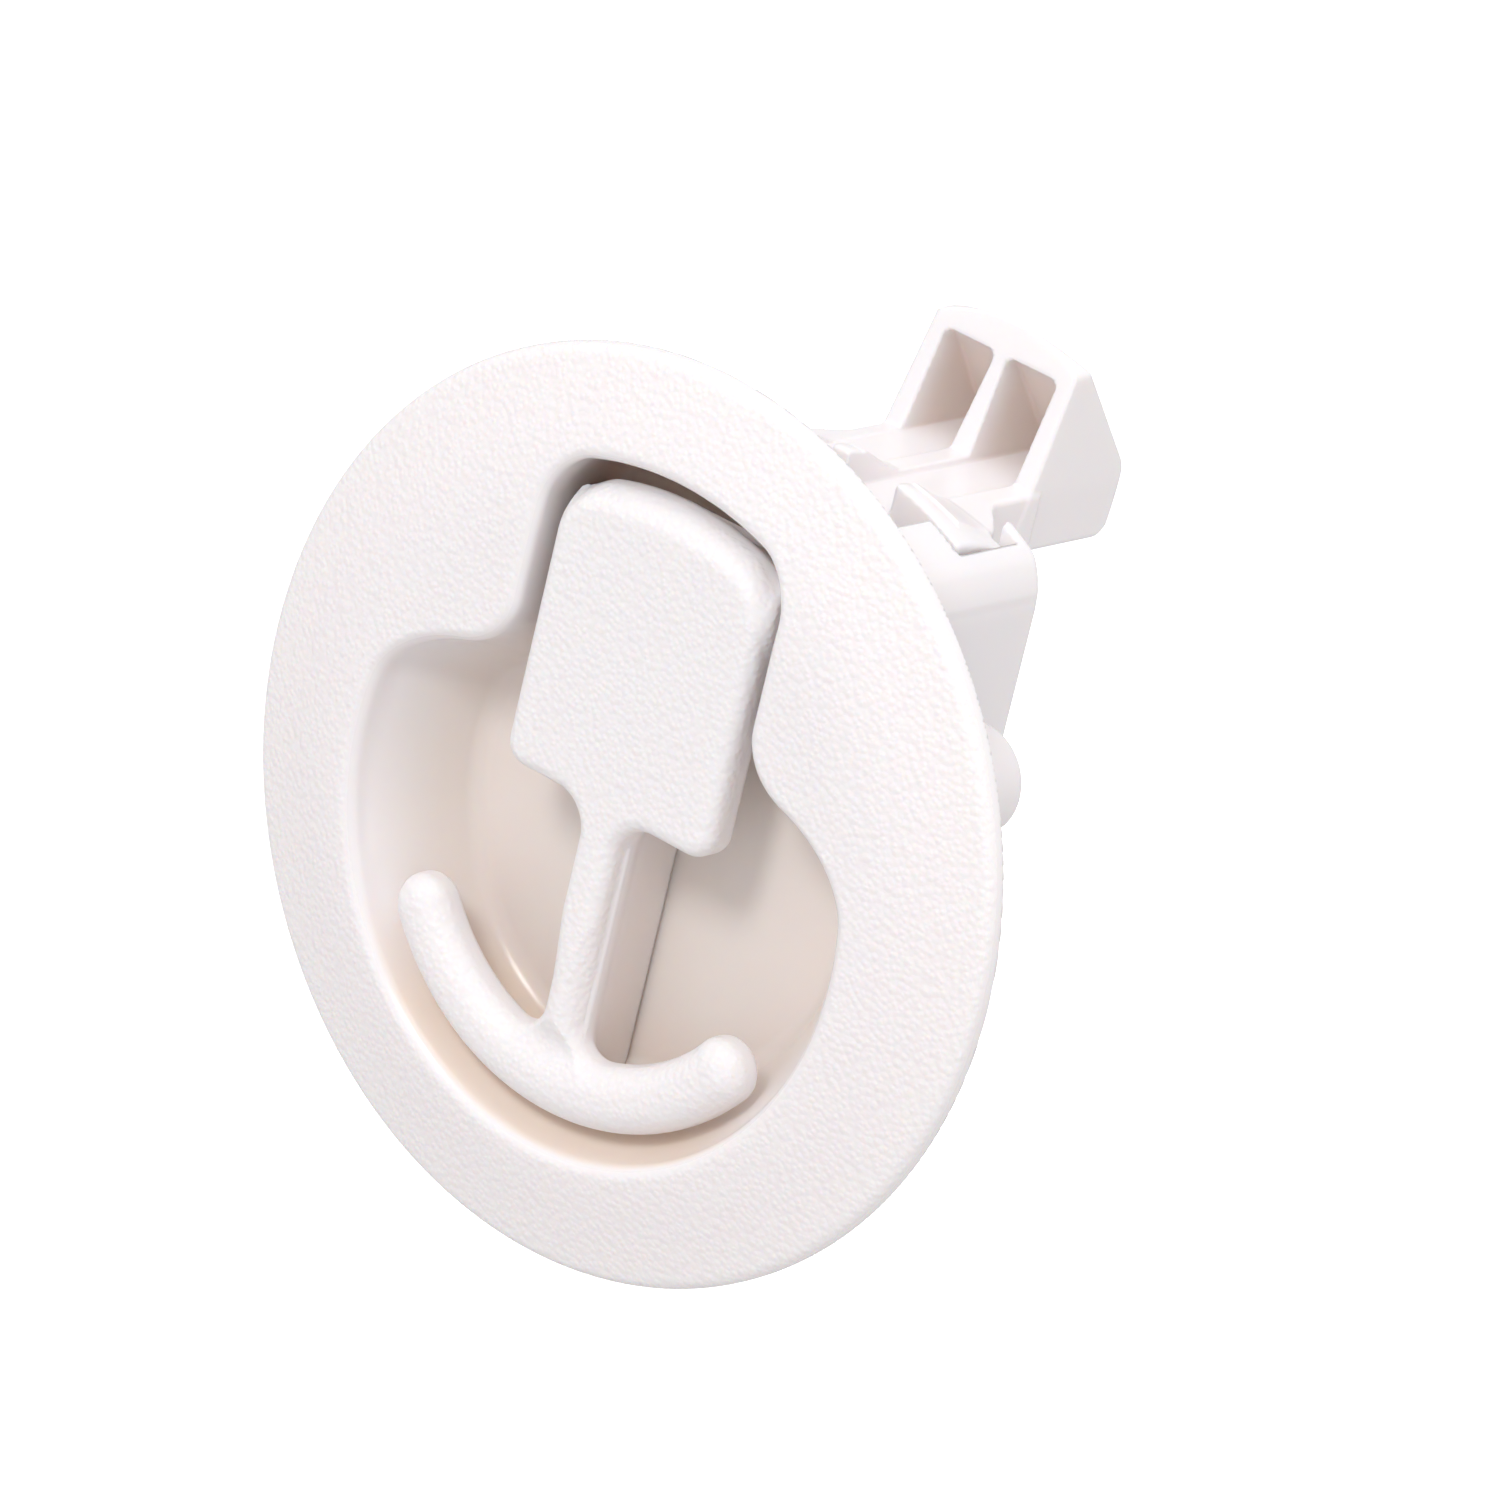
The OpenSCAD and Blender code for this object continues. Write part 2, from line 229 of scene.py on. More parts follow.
def housing_shape(x, y, z):
    rho = np.hypot(x, z)
    ax = np.abs(x)
    slope = cone(rho, -y, (BEZEL_R - 0.5, RIM_T), (PLATEAU_R, -PLATEAU_Y - 0.3))
    face = soft_cut(PLATEAU_Y - y, slope, 0.9)
    bezel = round_cut(round_cut(face, rho - BEZEL_R, 0.75), y, 0.25)
    barrel = round_cut(rho - BARREL_R, y - BARREL_L, 0.45)
    box = round_cut(box_outline(x, z), y - BOX_Y, 0.5)
    box = np.maximum(box, -y - 1)
    barrel = np.maximum(barrel, -y - 1)
    post = round_cut(disc(ax, z, POST_X, POST_Z, POST_R), y - POST_Y, 0.9)
    post = np.maximum(post, -y)
    body = round_union(bezel, barrel, 0.3)
    body = round_union(body, box, 0.3)

    # The pockets behind the bezel, which keep the walls even
    cup_rho = np.hypot(x, z - CUP_Z)
    cup_back = cone(cup_rho, y, (CUP_R + CUP_WALL, MOUTH_Y), (CUP_FLOOR_R + CUP_WALL, CUP_FLOOR_Y))
    cup_back = round_cut(cup_back, y - CUP_FLOOR_Y - CUP_WALL, 1.0)
    pocket = round_cut(rho - BARREL_R + BARREL_WALL, 0.6 - y, 0.6)
    pocket = round_cut(pocket, -cup_back, 0.5)
    pocket = round_cut(pocket, -box_outline(x, z), 0.5)
    body = round_cut(body, -pocket, 0.3)
    body = round_union(body, np.maximum(post, rho - BARREL_R), 0.3)

    # The space that the bolt slides in, with its throat in front and the slot for its arm
    wide = round_cut(ax - CAVITY_HW, span(y, GUIDE_Y, BOX_Y - BOX_WALL), 0.2)
    throat = round_cut(ax - THROAT_HW, span(y, CUP_FLOOR_Y + CUP_WALL, GUIDE_Y + 1), 0.3)
    low_throat = np.maximum(throat, z - WINDOW_Z[1] - 1)
    high_throat = np.maximum(throat, BARREL_L - y)
    cavity = np.minimum(wide, np.minimum(low_throat, high_throat))
    cavity = round_cut(cavity, CAVITY_BOTTOM_Z - z, 0.5)
    arm_slot = round_cut(ax - ARM_ROOT_HW - 0.5, ARM_Z[0] - TRAVEL - 0.8 - z, 0.8)
    arm_slot = np.maximum(arm_slot, BOX_Y - BOX_WALL - 1 - y)
    body = round_cut(body, -np.minimum(cavity, arm_slot), 0.2)

    # The finger cup and the lug's window
    body = round_cut(body, -opening(x, y, z), 0.9)
    window = round_cut(ax - WINDOW_HW, span(z, *WINDOW_Z), 0.8)
    window = np.maximum(window, span(y, CUP_FLOOR_Y - 1.5, BARREL_L + 0.5))
    body = round_cut(body, -window, 0.25)

    # The pin's bore and the posts' pilot holes
    bore = np.hypot(y - PIN_Y, z - PIN_Z) - PIN_R
    bore = np.maximum(bore, span(x, -BARREL_R, PIN_HALF_L))
    pilot = disc(ax, z, POST_X, POST_Z, PILOT_R)
    pilot = np.maximum(pilot, POST_Y - PILOT_DEPTH - y)
    return round_cut(round_cut(body, -bore, 0.1), -pilot, 0.25)


def housing_grain(x, y, z, normal):
    """The mould's front is grained up to the cup's rounded lip."""
    flat = np.clip((opening(x, y, z) - 0.25) / 0.5, 0, 1)
    front = np.clip((-normal[:, 1] - 0.3) / 0.3, 0, 1) * (y < -0.6)
    return flat * front


# -------------------------------------------------------------------- handle
def handle_outline(x, z):
    ax = np.abs(x)
    paddle = round_cut(ax - PADDLE_HW, np.hypot(x, z) - PADDLE_TOP_R, 3.0)
    paddle = round_cut(paddle, PADDLE_BOTTOM_Z - z, 1.8)
    stem = np.maximum(ax - STEM_HW, span(z, -16, 4))
    from_centre = np.hypot(x, z - CUP_Z)
    angle = np.arctan2(ax, CUP_Z - z)
    tip_x = BAR_MID_R * math.sin(BAR_HALF_ANGLE)
    tip_z = CUP_Z - BAR_MID_R * math.cos(BAR_HALF_ANGLE)
    arc = np.abs(from_centre - BAR_MID_R)
    bar = np.where(angle < BAR_HALF_ANGLE, arc, np.hypot(ax - tip_x, z - tip_z))
    return round_union(round_union(paddle, stem, 2.6), bar - BAR_HW, 2.6)


def handle_shape(x, y, z):
    """The front's edge is rounder along the crossbar and the paddle's top."""
    ax = np.abs(x)
    back_y = HANDLE_FRONT_Y + PADDLE_T
    edge = 1.1 + np.clip((-7 - z) / 5, 0, 1) + 1.2 * np.clip((z - 17.5) / 4, 0, 1)
    plate = round_cut(handle_outline(x, z), HANDLE_FRONT_Y - y, edge)
    plate = round_cut(plate, y - back_y, 0.7)
    fin = round_cut(ax - STEM_HW + 0.02 * (y - back_y), y - FIN_Y, 0.3)
    fin = round_cut(fin, span(z, CUP_Z - BAR_MID_R, PIN_Z - 4), 0.8)
    fin = np.maximum(fin, back_y - 1 - y)
    hub = np.hypot(y - PIN_Y, z - PIN_Z) - HUB_R
    hub = round_cut(hub, ax - PADDLE_HW, 0.4)
    lug = np.hypot(np.maximum(np.abs(y - PIN_Y - LUG_L / 2) - LUG_L / 2, 0), z - PIN_Z) - LUG_R
    lug = round_cut(lug, ax - LUG_HW, 0.4)
    body = round_union(plate, fin, 0.6)
    body = round_union(body, hub, 0.8)
    body = round_union(body, lug, 0.8)
    bay = np.maximum(x - SPRING_BAY_X, PIN_Y - TWIST_R - TWIST_WIRE / 2 - 0.3 - y)
    bay = round_cut(bay, np.abs(z - PIN_Z) - HUB_R - 0.1, 0.3)
    body = round_cut(body, -bay, 0.2)
    return np.maximum(body, PIN_R + 0.05 - np.hypot(y - PIN_Y, z - PIN_Z))


def housing_warmth(x, y, z, normal):
    """Painted shade: a darker, warmer colour in the cup and the slot, for light dimmed there by
    bounces and by passing through the plastic; deeper towards the back, in the slot and on the low
    wall under the crossbar.
    """
    inside = np.clip((0.25 - opening(x, y, z)) / 0.3, 0, 1) * (y < CUP_FLOOR_Y + 0.4)
    depth = np.clip((y - MOUTH_Y) / 5, 0, 1)
    floor = np.clip((-normal[:, 1] - 0.6) / 0.3, 0, 1)
    slot = np.clip((z - SHOULDER_Z + 1) / 3, 0, 1)
    low = np.clip((CUP_Z - 11 - z) / 6, 0, 1) * (1 - floor)
    return inside * np.clip(depth * (0.5 + 0.3 * slot) + 0.8 * low, 0, 1)


def handle_grain(x, y, z, normal):
    """The grain ends at the parting line, half way back along the edges."""
    return np.clip((HANDLE_FRONT_Y + 0.55 * PADDLE_T - y) / 0.15, 0, 1)


def handle_warmth(x, y, z, normal):
    """Painted shade: a slightly darker, warmer colour on the fin and the hub, which stand in the
    cup.
    """
    return 0.3 * np.clip((y - HANDLE_FRONT_Y - 0.7 * PADDLE_T) / 2, 0, 1)


# ---------------------------------------------------------------------- bolt
def head_planes(y, z):
    """Distances to the head's leaning front, its ramp and its rear face."""
    peak_y = HEAD_Y[0] + HEAD_LEAN
    rise = TIP_Z - HEAD_FLOOR_Z
    front = HEAD_Y[0] - y + (z - HEAD_FLOOR_Z) * HEAD_LEAN / rise
    front = front * rise / math.hypot(rise, HEAD_LEAN)
    run, drop = HEAD_Y[1] - peak_y - 0.2, TIP_Z - HEAD_REAR_Z
    ramp = ((z - HEAD_REAR_Z) * run + (y - HEAD_Y[1]) * drop) / math.hypot(run, drop)
    rear = y - HEAD_Y[1] + 0.08 * (HEAD_REAR_Z - z)
    return front, ramp, rear


def head_room(x, y, z):
    """The two pockets in the head, as the space that they leave open.

    The rib between them gets narrower towards the top.
    """
    ramp = head_planes(y, z)[1]
    up = np.clip((z - HEAD_FLOOR_Z) / 7.5, 0, 1)
    rib_hw = HEAD_RIB_HW[0] + (HEAD_RIB_HW[1] - HEAD_RIB_HW[0]) * up
    room = round_cut(span(np.abs(x), rib_hw, HEAD_HW - HEAD_WALL), HEAD_FLOOR_Z - z, 0.2)
    room = round_cut(room, ramp + 1.4, 0.3)
    return round_cut(room, z + 2.3 - TIP_Z, 0.8)


def bolt_shape(x, y, z):
    ax = np.abs(x)
    # One surface runs over the block and the arm, arched across and falling to the rear
    fall = np.clip((BLOCK_Y[1] + 0.4 - y) / (BLOCK_Y[1] - BLOCK_Y[0]), 0, 1)
    fall = fall * fall * (3 - 2 * fall)
    crown_r = ARM_CROWN_R + (BLOCK_CROWN_R - ARM_CROWN_R) * fall
    crown_z = ARM_Z[1] + (BLOCK_TOP_Z - ARM_Z[1]) * fall
    top = np.hypot(x, z - crown_z + crown_r) - crown_r
    block = round_cut(ax - BLOCK_HW, span(y, *BLOCK_Y), 0.3)
    block = round_cut(block, top, 0.25)
    block = round_cut(block, BLOCK_BOTTOM_Z - z, 0.4)
    ledge_low = (-LEDGE_HW, LEDGE_Y, LEDGE_Z[0])
    ledge = brick(x, y, z, ledge_low, (LEDGE_HW, BLOCK_Y[0] + 1, LEDGE_Z[1]), 0.4)

    flare = np.clip((ARM_FLARE_Y - y) / ARM_FLARE_L, 0, 1)
    half_arm = HEAD_HW + (ARM_ROOT_HW - HEAD_HW) * flare * flare * (3 - 2 * flare)
    arm = round_cut(ax - half_arm, np.maximum(top, ARM_Z[0] - z), 0.3)
    arm = np.maximum(arm, span(y, BLOCK_Y[0] + 2, HEAD_Y[0] + 1))

    front, ramp, rear = head_planes(y, z)
    tail = round_cut(round_cut(rear, ARM_Z[0] - z, 1.3), ramp, 0.7)
    profile = round_cut(np.maximum(front, HEAD_Y[0] - 1 - y), tail, 0.3)
    crown = np.hypot(x, z - TIP_Z + HEAD_CROWN_R) - HEAD_CROWN_R
    profile = round_cut(profile, crown, 0.2)
    draft = 0.45 * np.clip((z - HEAD_FLOOR_Z) / (TIP_Z - HEAD_FLOOR_Z), 0, 1)
    head = round_cut(profile, ax - HEAD_HW + draft, 0.3)

    body = np.minimum(block, ledge)
    body = round_union(body, arm, 0.6)
    body = round_union(body, head, 0.3)
    body = round_cut(body, -head_room(x, y, z), 0.2)
    socket = disc(ax, y, SPRING_X, SPRING_Y, COIL_R + COIL_WIRE / 2 + 0.25)
    socket = np.maximum(socket, z - SPRING_TOP_Z)
    return round_cut(body, -socket, 0.15)


def bolt_warmth(x, y, z, normal):
    """Painted shade: a darker, warmer colour in the head's pockets, for light dimmed by passing
    through the plastic; deeper back from the front, fainter on the pocket floors.
    """
    inside = np.clip((0.25 - head_room(x, y, z)) / 0.3, 0, 1) * (y > HEAD_Y[0])
    front = head_planes(y, z)[0]
    depth = np.clip((-front - 0.2) / 2.5, 0, 1)
    floor = np.clip((normal[:, 2] - 0.6) / 0.3, 0, 1)
    return 0.5 * inside * depth * (1 - 0.7 * floor)


# ------------------------------------------------------------------- meshing
def edge_crossings(field, cells, corner, step):
    """Where the field crosses zero along one of the twelve edges of each cell."""
    i, j, k = (cells[:, n] + corner[n] for n in range(3))
    a = field[i, j, k]
    b = field[i + step[0], j + step[1], k + step[2]]
    crossed = (a < 0) != (b < 0)
    part = np.where(crossed, a / np.where(crossed, a - b, 1), 0)
    point = np.array(corner) + part[:, None] * np.array(step)
    return point * crossed[:, None], crossed


def surface_net(field):
    """Vertices in grid units, and quads, of the surface where a sampled field is zero."""
    inside = field < 0
    count = np.zeros([n - 1 for n in field.shape], np.int8)
    nx, ny, nz = count.shape
    for di in (0, 1):
        for dj in (0, 1):
            for dk in (0, 1):
                count += inside[di:di + nx, dj:dj + ny, dk:dk + nz]
    active = (count > 0) & (count < 8)
    cells = np.argwhere(active)
    index = np.full(count.shape, -1, np.int64)
    index[active] = np.arange(len(cells))

    total = np.zeros((len(cells), 3))
    hits = np.zeros(len(cells))
    for axis in range(3):
        step = [int(n == axis) for n in range(3)]
        for u in (0, 1):
            for v in (0, 1):
                corner = [u, v]
                corner.insert(axis, 0)
                points, crossed = edge_crossings(field, cells, corner, step)
                total += points
                hits += crossed
    verts = cells + total / hits[:, None]

    quads = []
    for axis in range(3):
        u, v = [n for n in range(3) if n != axis]
        low = inside.take(range(0, field.shape[axis] - 1), axis)
        high = inside.take(range(1, field.shape[axis]), axis)
        for flip, change in ((axis == 1, low & ~high), (axis != 1, high & ~low)):
            e = np.argwhere(change)
            e = e[(e[:, u] > 0) & (e[:, v] > 0)]
            around = []
            for du, dv in ((1, 1), (0, 1), (0, 0), (1, 0)):
                c = e.copy()
                c[:, u] -= du
                c[:, v] -= dv
                around.append(index[c[:, 0], c[:, 1], c[:, 2]])
            ring = np.stack(around, 1)
            quads.append(ring[:, ::-1] if flip else ring)
    return verts, np.concatenate(quads)


def gradient(shape, p, step=0.02):
    columns = []
    for axis in range(3):
        near, far = p.copy(), p.copy()
        near[:, axis] -= step
        far[:, axis] += step
        columns.append((shape(*far.T) - shape(*near.T)) / (2 * step))
    return np.stack(columns, 1)


def settle(shape, p, reach):
    """Move points onto the surface along the field's slope."""
    for _ in range(3):
        g = gradient(shape, p)
        steps = shape(*p.T) / np.maximum((g * g).sum(1), 0.05)
        p = p - np.clip(steps, -reach, reach)[:, None] * g
    return p


def moulded(name, shape, box, cell, keep, **layers):
    """Mesh a distance field inside a box given in metres, and thin out its flat parts.

    Each layer is a function of place and normal, stored as an attribute of the points.
    """
    low = np.array(box[0]) / MM - 2 * cell - 0.3
    high = np.array(box[1]) / MM + 2 * cell + 0.3
    axes = [np.arange(low[n], high[n] + cell, cell, dtype=np.float32) for n in range(3)]
    grid = np.ix_(*axes)
    field = np.broadcast_to(shape(*grid), [len(a) for a in axes]).astype(np.float32)
    verts, quads = surface_net(field)
    verts = settle(shape, verts * cell + low, 0.4 * cell)

    mesh = bpy.data.meshes.new(name)
    mesh.from_pydata((verts * MM).tolist(), [], quads.tolist())
    piece = bpy.data.objects.new(name, mesh)
    bpy.context.scene.collection.objects.link(piece)
    if keep < 1:
        thin = piece.modifiers.new("thin", "DECIMATE")
        thin.ratio = keep
        bpy.context.view_layer.objects.active = piece
        with bpy.context.temp_override(object=piece, active_object=piece):
            bpy.ops.object.modifier_apply(modifier=thin.name)
        mesh = piece.data

    points = np.empty(len(mesh.vertices) * 3)
    mesh.vertices.foreach_get("co", points)
    points = settle(shape, points.reshape(-1, 3) / MM, 0.3 * cell)
    mesh.vertices.foreach_set("co", (points * MM).ravel())
    normal = gradient(shape, points)
    normal /= np.maximum(np.linalg.norm(normal, axis=1), 1e-6)[:, None]
    for label, amount in layers.items():
        layer = mesh.attributes.new(label, "FLOAT", "POINT")
        layer.data.foreach_set("value", amount(*points.T, normal).astype(np.float32))
    mesh.shade_smooth()
    mesh.normals_split_custom_set_from_vertices(normal.tolist())
    mesh.update()
    return piece


# ------------------------------------------------------------------ materials
def new_material(name, color, roughness):
    material = bpy.data.materials.new(name)
    material.use_nodes = True
    shader = material.node_tree.nodes["Principled BSDF"]
    shader.inputs["Base Color"].default_value = (*color, 1)
    shader.inputs["Roughness"].default_value = roughness
    return material, material.node_tree, shader


def noise(tree, scale, detail=2.0, rough=0.5):
    place = tree.nodes.new("ShaderNodeTexCoord")
    tex = tree.nodes.new("ShaderNodeTexNoise")
    tex.inputs["Scale"].default_value = scale
    tex.inputs["Detail"].default_value = detail
    tex.inputs["Roughness"].default_value = rough
    tree.links.new(place.outputs["Object"], tex.inputs["Vector"])
    return tex.outputs["Fac"]


def scaled(tree, value, low, high, from_low=0.0, from_high=1.0):
    node = tree.nodes.new("ShaderNodeMapRange")
    node.inputs["From Min"].default_value = from_low
    node.inputs["From Max"].default_value = from_high
    node.inputs["To Min"].default_value = low
    node.inputs["To Max"].default_value = high
    tree.links.new(value, node.inputs["Value"])
    return node.outputs["Result"]


def product(tree, a, b):
    node = tree.nodes.new("ShaderNodeMath")
    node.operation = "MULTIPLY"
    tree.links.new(a, node.inputs[0])
    tree.links.new(b, node.inputs[1])
    return node.outputs[0]


def blend_colors(tree, factor, a, b):
    node = tree.nodes.new("ShaderNodeMix")
    node.data_type = "RGBA"
    node.inputs["A"].default_value = (*a, 1)
    node.inputs["B"].default_value = (*b, 1)
    tree.links.new(factor, node.inputs["Factor"])
    return node.outputs["Result"]


def point_layer(tree, label):
    node = tree.nodes.new("ShaderNodeAttribute")
    node.attribute_name = label
    return node.outputs["Fac"]


def leather(tree):
    """Height of a fine moulded grain: rounded pebbles of about 0.4 mm."""
    place = tree.nodes.new("ShaderNodeTexCoord")
    cells = tree.nodes.new("ShaderNodeTexVoronoi")
    cells.feature = "SMOOTH_F1"
    cells.inputs["Scale"].default_value = 2300
    cells.inputs["Smoothness"].default_value = 0.6
    tree.links.new(place.outputs["Object"], cells.inputs["Vector"])
    pebbles = scaled(tree, cells.outputs["Distance"], 1, 0, 0.1, 0.8)
    uneven = noise(tree, 1600, 3, 0.6)
    mix = tree.nodes.new("ShaderNodeMath")
    mix.operation = "MULTIPLY_ADD"
    mix.inputs[1].default_value = 0.5
    tree.links.new(uneven, mix.inputs[0])
    tree.links.new(pebbles, mix.inputs[2])
    return mix.outputs[0]


def white_plastic(name, color, smooth, grained):
    """White moulded plastic, glossy where it is smooth and satin where it is grained."""
    material, tree, shader = new_material(name, color, smooth)
    links = tree.links
    grain = point_layer(tree, "grain")
    height = product(tree, grain, leather(tree))
    valley = tuple(c * 0.965 for c in color)
    white = blend_colors(tree, scaled(tree, height, 0, 1, 1.3, 0.3), color, valley)
    # Painted shade: the shade layer mixes in a darker, warmer copy of the colour where the piece
    # lies in shade.
    painted_shade_tint = tree.nodes.new("ShaderNodeMix")
    painted_shade_tint.data_type = "RGBA"
    painted_shade_tint.inputs["B"].default_value = (color[0] * 0.9, color[1] * 0.77, color[2] * 0.62, 1)
    links.new(white, painted_shade_tint.inputs["A"])
    links.new(point_layer(tree, "warmth"), painted_shade_tint.inputs["Factor"])
    links.new(painted_shade_tint.outputs["Result"], shader.inputs["Base Color"])
    links.new(scaled(tree, grain, smooth, grained), shader.inputs["Roughness"])
    shader.inputs["Subsurface Weight"].default_value = 0.35
    shader.inputs["Subsurface Radius"].default_value = (1.0, 0.62, 0.38)
    shader.inputs["Subsurface Scale"].default_value = 0.0022
    shader.inputs["IOR"].default_value = 1.46

    bump = tree.nodes.new("ShaderNodeBump")
    bump.inputs["Strength"].default_value = 1.0
    bump.inputs["Distance"].default_value = 0.00007
    links.new(height, bump.inputs["Height"])
    links.new(bump.outputs["Normal"], shader.inputs["Normal"])
    return material


def metal(name, color, roughness):
    """Plain drawn steel with a slightly uneven sheen."""
    material, tree, shader = new_material(name, color, roughness)
    shader.inputs["Metallic"].default_value = 1
    worn = noise(tree, 900, 4)
    sheen = scaled(tree, worn, roughness - 0.08, roughness + 0.12)
    tree.links.new(sheen, shader.inputs["Roughness"])
    dark = tuple(c * 0.7 for c in color)
    tree.links.new(blend_colors(tree, worn, dark, color), shader.inputs["Base Color"])
    return material


HOUSING_WHITE = white_plastic("housing_white", (0.9, 0.865, 0.875), 0.24, 0.5)
HANDLE_WHITE = white_plastic("handle_white", (0.9, 0.87, 0.88), 0.28, 0.5)
BOLT_WHITE = white_plastic("bolt_white", (0.91, 0.875, 0.885), 0.3, 0.5)
PIN_STEEL = metal("pin_steel", (0.42, 0.39, 0.36), 0.35)
SPRING_STEEL = metal("spring_steel", (0.3, 0.26, 0.23), 0.38)


def finish(piece, material, body, slot, *nodes):
    piece.data.materials.clear()
    piece.data.materials.append(material)
    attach(piece, body)
    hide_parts(*nodes)


# --------------------------------------------------------------------- pieces
# The pieces carry a layer of painted shade, darker and warmer in the cup, the slot and the head's
# pockets.
housing = moulded("housing_skin", housing_shape, housing_box, 0.3, 0.4,
                  grain=housing_grain, warmth=housing_warmth)
finish(housing, HOUSING_WHITE, "body", "housing_plastic", "housing")
handle = moulded("handle_skin", handle_shape, handle_box, 0.25, 0.5,
                 grain=handle_grain, warmth=handle_warmth)
finish(handle, HANDLE_WHITE, "handle", "handle_plastic", "t_handle")
bolt = moulded("bolt_skin", bolt_shape, bolt_box, 0.25, 0.5, warmth=bolt_warmth)
finish(bolt, BOLT_WHITE, "bolt", "bolt_plastic", "slide_bolt")


def band(i, k, sides):
    """The face between two rings of points, from place k round the first one."""
    k2 = (k + 1) % sides
    return (i * sides + k, i * sides + k2, (i + 1) * sides + k2, (i + 1) * sides + k)


def tube(name, points, diameter, sides=12):
    """A round wire along a list of points in mm, as a mesh with capped ends."""
    p = np.array(points, float)
    along = np.gradient(p, axis=0)
    along /= np.linalg.norm(along, axis=1)[:, None]
    across = np.cross(along, (0.123, 0.992, 0.017))
    across /= np.linalg.norm(across, axis=1)[:, None]
    third = np.cross(along, across)
    turn = np.linspace(0, 2 * math.pi, sides, endpoint=False)
    cos, sin = np.cos(turn)[None, :, None], np.sin(turn)[None, :, None]
    ring = cos * across[:, None] + sin * third[:, None]
    verts = (p[:, None] + ring * diameter / 2).reshape(-1, 3) * MM
    n = len(p)
    faces = [band(i, k, sides) for i in range(n - 1) for k in range(sides)]
    faces.append(tuple(range(sides))[::-1])
    faces.append(tuple((n - 1) * sides + k for k in range(sides)))
    mesh = bpy.data.meshes.new(name)
    mesh.from_pydata(verts.tolist(), [], faces)
    mesh.shade_smooth()
    piece = bpy.data.objects.new(name, mesh)
    bpy.context.scene.collection.objects.link(piece)
    return piece


def coil_height(turn):
    """Height of a compression spring's wire after some turns, with closed ends."""
    low = CAVITY_BOTTOM_Z + COIL_WIRE / 2
    high = SPRING_TOP_Z - COIL_WIRE / 2
    closed = COIL_WIRE * 1.05
    pitch = (high - low - 2 * closed) / (COIL_TURNS - 2)
    if turn < 1:
        return low + closed * turn
    if turn > COIL_TURNS - 1:
        return high - closed * (COIL_TURNS - turn)
    return low + closed + pitch * (turn - 1)


def bolt_spring(name, x):
    steps = 28
    points = []
    for i in range(COIL_TURNS * steps + 1):
        turn = i / steps
        a = 2 * math.pi * turn
        y = SPRING_Y + COIL_R * math.sin(a)
        points.append((x + COIL_R * math.cos(a), y, coil_height(turn)))
    piece = tube(name + "_wire", points, COIL_WIRE)
    finish(piece, SPRING_STEEL, "body", "spring_steel", name)
    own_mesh(piece)


bolt_spring("bolt_spring_left", -SPRING_X)
bolt_spring("bolt_spring_right", SPRING_X)


def handle_spring():
    steps = 32
    x0 = -SLOT_HW + 0.25 + TWIST_WIRE / 2
    x1 = SPRING_BAY_X - 0.25 - TWIST_WIRE / 2
    points = [(x0, PIN_Y + 2.2 - 0.2 * i, PIN_Z + TWIST_R) for i in range(11)]
    for i in range(TWIST_TURNS * steps + 1):
        f = i / (TWIST_TURNS * steps)
        a = 2 * math.pi * TWIST_TURNS * f
        y, z = PIN_Y + TWIST_R * math.sin(a), PIN_Z + TWIST_R * math.cos(a)
        points.append((x0 + (x1 - x0) * f, y, z))
    points += [(x1, PIN_Y + 0.4 + 0.2 * i, PIN_Z + TWIST_R) for i in range(10)]
    piece = tube("handle_spring_wire", points, TWIST_WIRE)
    finish(piece, SPRING_STEEL, "body", "spring_steel", "handle_spring")


handle_spring()


def handle_pin():
    """The pin, with a small chamfer on each end."""
    bevel = 0.2
    profile = [(-PIN_HALF_L, 0.0), (-PIN_HALF_L, PIN_R - bevel), (-PIN_HALF_L + bevel, PIN_R),
               (PIN_HALF_L - bevel, PIN_R), (PIN_HALF_L, PIN_R - bevel), (PIN_HALF_L, 0.0)]
    sides = 40
    verts, faces = [], []
    for x, r in profile:
        for k in range(sides):
            a = 2 * math.pi * k / sides
            verts.append((x * MM, (PIN_Y + r * math.cos(a)) * MM, (PIN_Z + r * math.sin(a)) * MM))
    for i in range(1, len(profile) - 2):
        faces += [band(i, k, sides) for k in range(sides)]
    faces.append(tuple(sides + k for k in range(sides))[::-1])
    faces.append(tuple((len(profile) - 2) * sides + k for k in range(sides)))
    mesh = bpy.data.meshes.new("handle_pin_turned")
    mesh.from_pydata(verts, [], faces)
    mesh.shade_smooth()
    piece = bpy.data.objects.new("handle_pin_turned", mesh)
    bpy.context.scene.collection.objects.link(piece)
    finish(piece, PIN_STEEL, "body", "pin_steel", "handle_pin")


handle_pin()


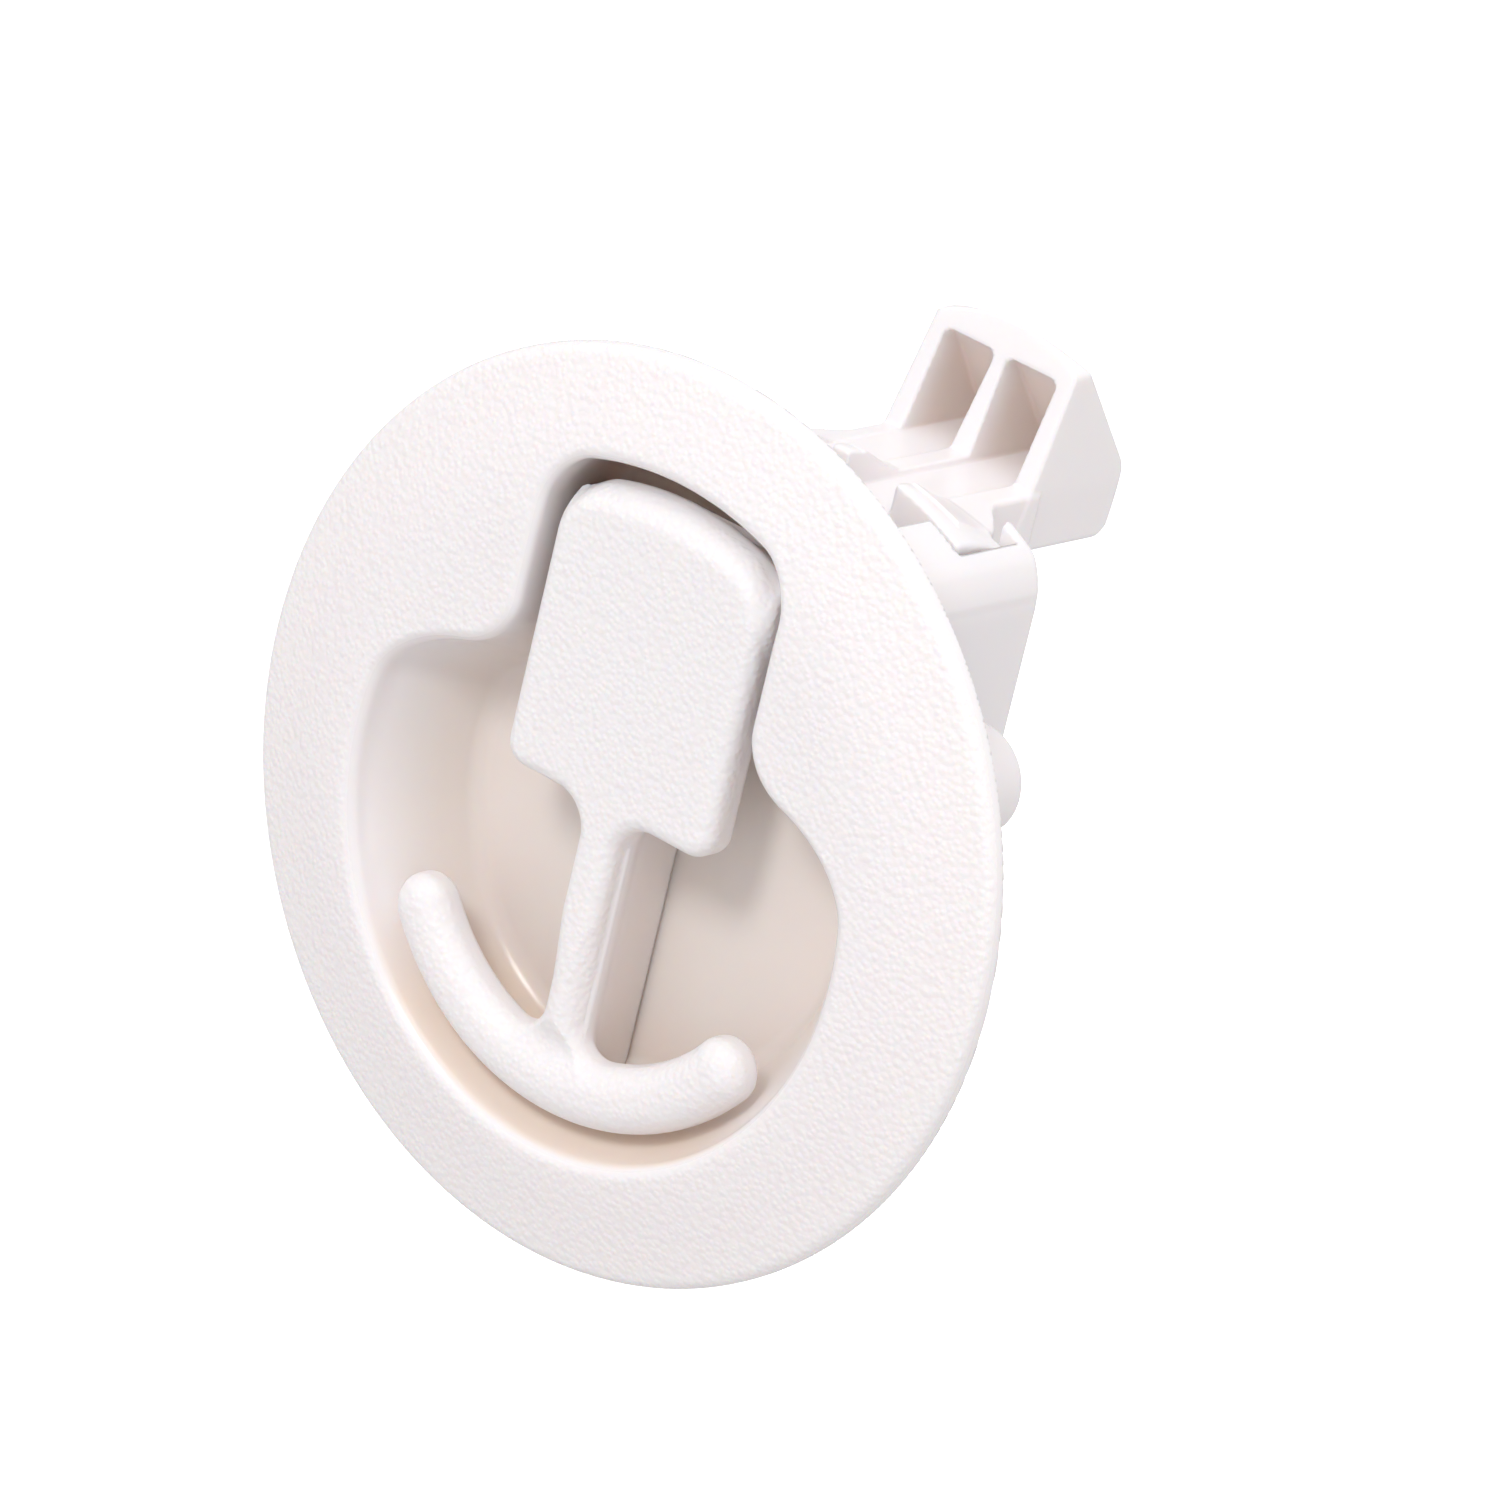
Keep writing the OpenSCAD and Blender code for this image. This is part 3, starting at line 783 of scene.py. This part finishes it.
# ------------------------------------------------------------ floor and light
def backdrop():
    """A floor that the camera sees as pure white, and that lights the latch only faintly."""
    size = 3.0
    floor_z = -0.075
    mesh = bpy.data.meshes.new("floor")
    around = ((-size, -size), (size, -size), (size, size), (-size, size))
    mesh.from_pydata([(x, y, floor_z) for x, y in around], [], [(0, 1, 2, 3)])
    floor = bpy.data.objects.new("floor", mesh)
    bpy.context.scene.collection.objects.link(floor)
    material, tree, shader = new_material("floor_white", (0.5, 0.5, 0.5), 0.9)
    seen = tree.nodes.new("ShaderNodeLightPath").outputs["Is Camera Ray"]
    shader.inputs["Emission Color"].default_value = (1, 1, 1, 1)
    tree.links.new(scaled(tree, seen, 0.12, 1.0), shader.inputs["Emission Strength"])
    mesh.materials.append(material)


def area_light(name, position, size, power, color=(1, 1, 1)):
    data = bpy.data.lights.new(name, "AREA")
    data.size = size
    data.energy = power
    data.color = color
    lamp = bpy.data.objects.new(name, data)
    bpy.context.scene.collection.objects.link(lamp)
    lamp.location = position
    lamp.rotation_euler = (-Vector(position)).to_track_quat("-Z", "Y").to_euler()


def world(color, strength):
    scene_world = bpy.data.worlds.new("studio")
    scene_world.use_nodes = True
    back = scene_world.node_tree.nodes["Background"]
    back.inputs["Color"].default_value = (*color, 1)
    back.inputs["Strength"].default_value = strength
    bpy.context.scene.world = scene_world


backdrop()
world((1, 0.985, 0.99), 0.74)
area_light("key", (0.05, -0.65, 0.57), 0.2, 2.6)
area_light("overhead", (0.15, -0.1, 0.85), 0.5, 1.8)
area_light("side", (0.85, 0, 0.1), 0.4, 0.8)

# --------------------------------------------------------------------- camera
AZIMUTH = math.radians(35.7)
ELEVATION = math.radians(21.2)
ROLL = math.radians(13.6)
DISTANCE = 0.64
FRAME_WIDTH = 0.1
SHIFT_RIGHT = 0.00862
SHIFT_UP = 0.00449


def camera():
    back = Vector((math.sin(AZIMUTH) * math.cos(ELEVATION), -math.cos(AZIMUTH) * math.cos(ELEVATION),
                   math.sin(ELEVATION)))
    level = Vector((math.cos(AZIMUTH), math.sin(AZIMUTH), 0))
    upright = back.cross(level)
    right = math.cos(ROLL) * level + math.sin(ROLL) * upright
    up = math.cos(ROLL) * upright - math.sin(ROLL) * level
    target = SHIFT_RIGHT * right + SHIFT_UP * up + Vector((0, -0.0007, 0))
    data = bpy.data.cameras.new("camera")
    data.sensor_width = 36
    data.lens = 36 * DISTANCE / FRAME_WIDTH
    data.clip_end = 10
    eye = bpy.data.objects.new("camera", data)
    bpy.context.scene.collection.objects.link(eye)
    turn = Matrix((right, up, back)).transposed().to_4x4()
    eye.matrix_world = Matrix.Translation(target + back * DISTANCE) @ turn
    bpy.context.scene.camera = eye


camera()
bpy.context.scene.view_settings.view_transform = "Standard"
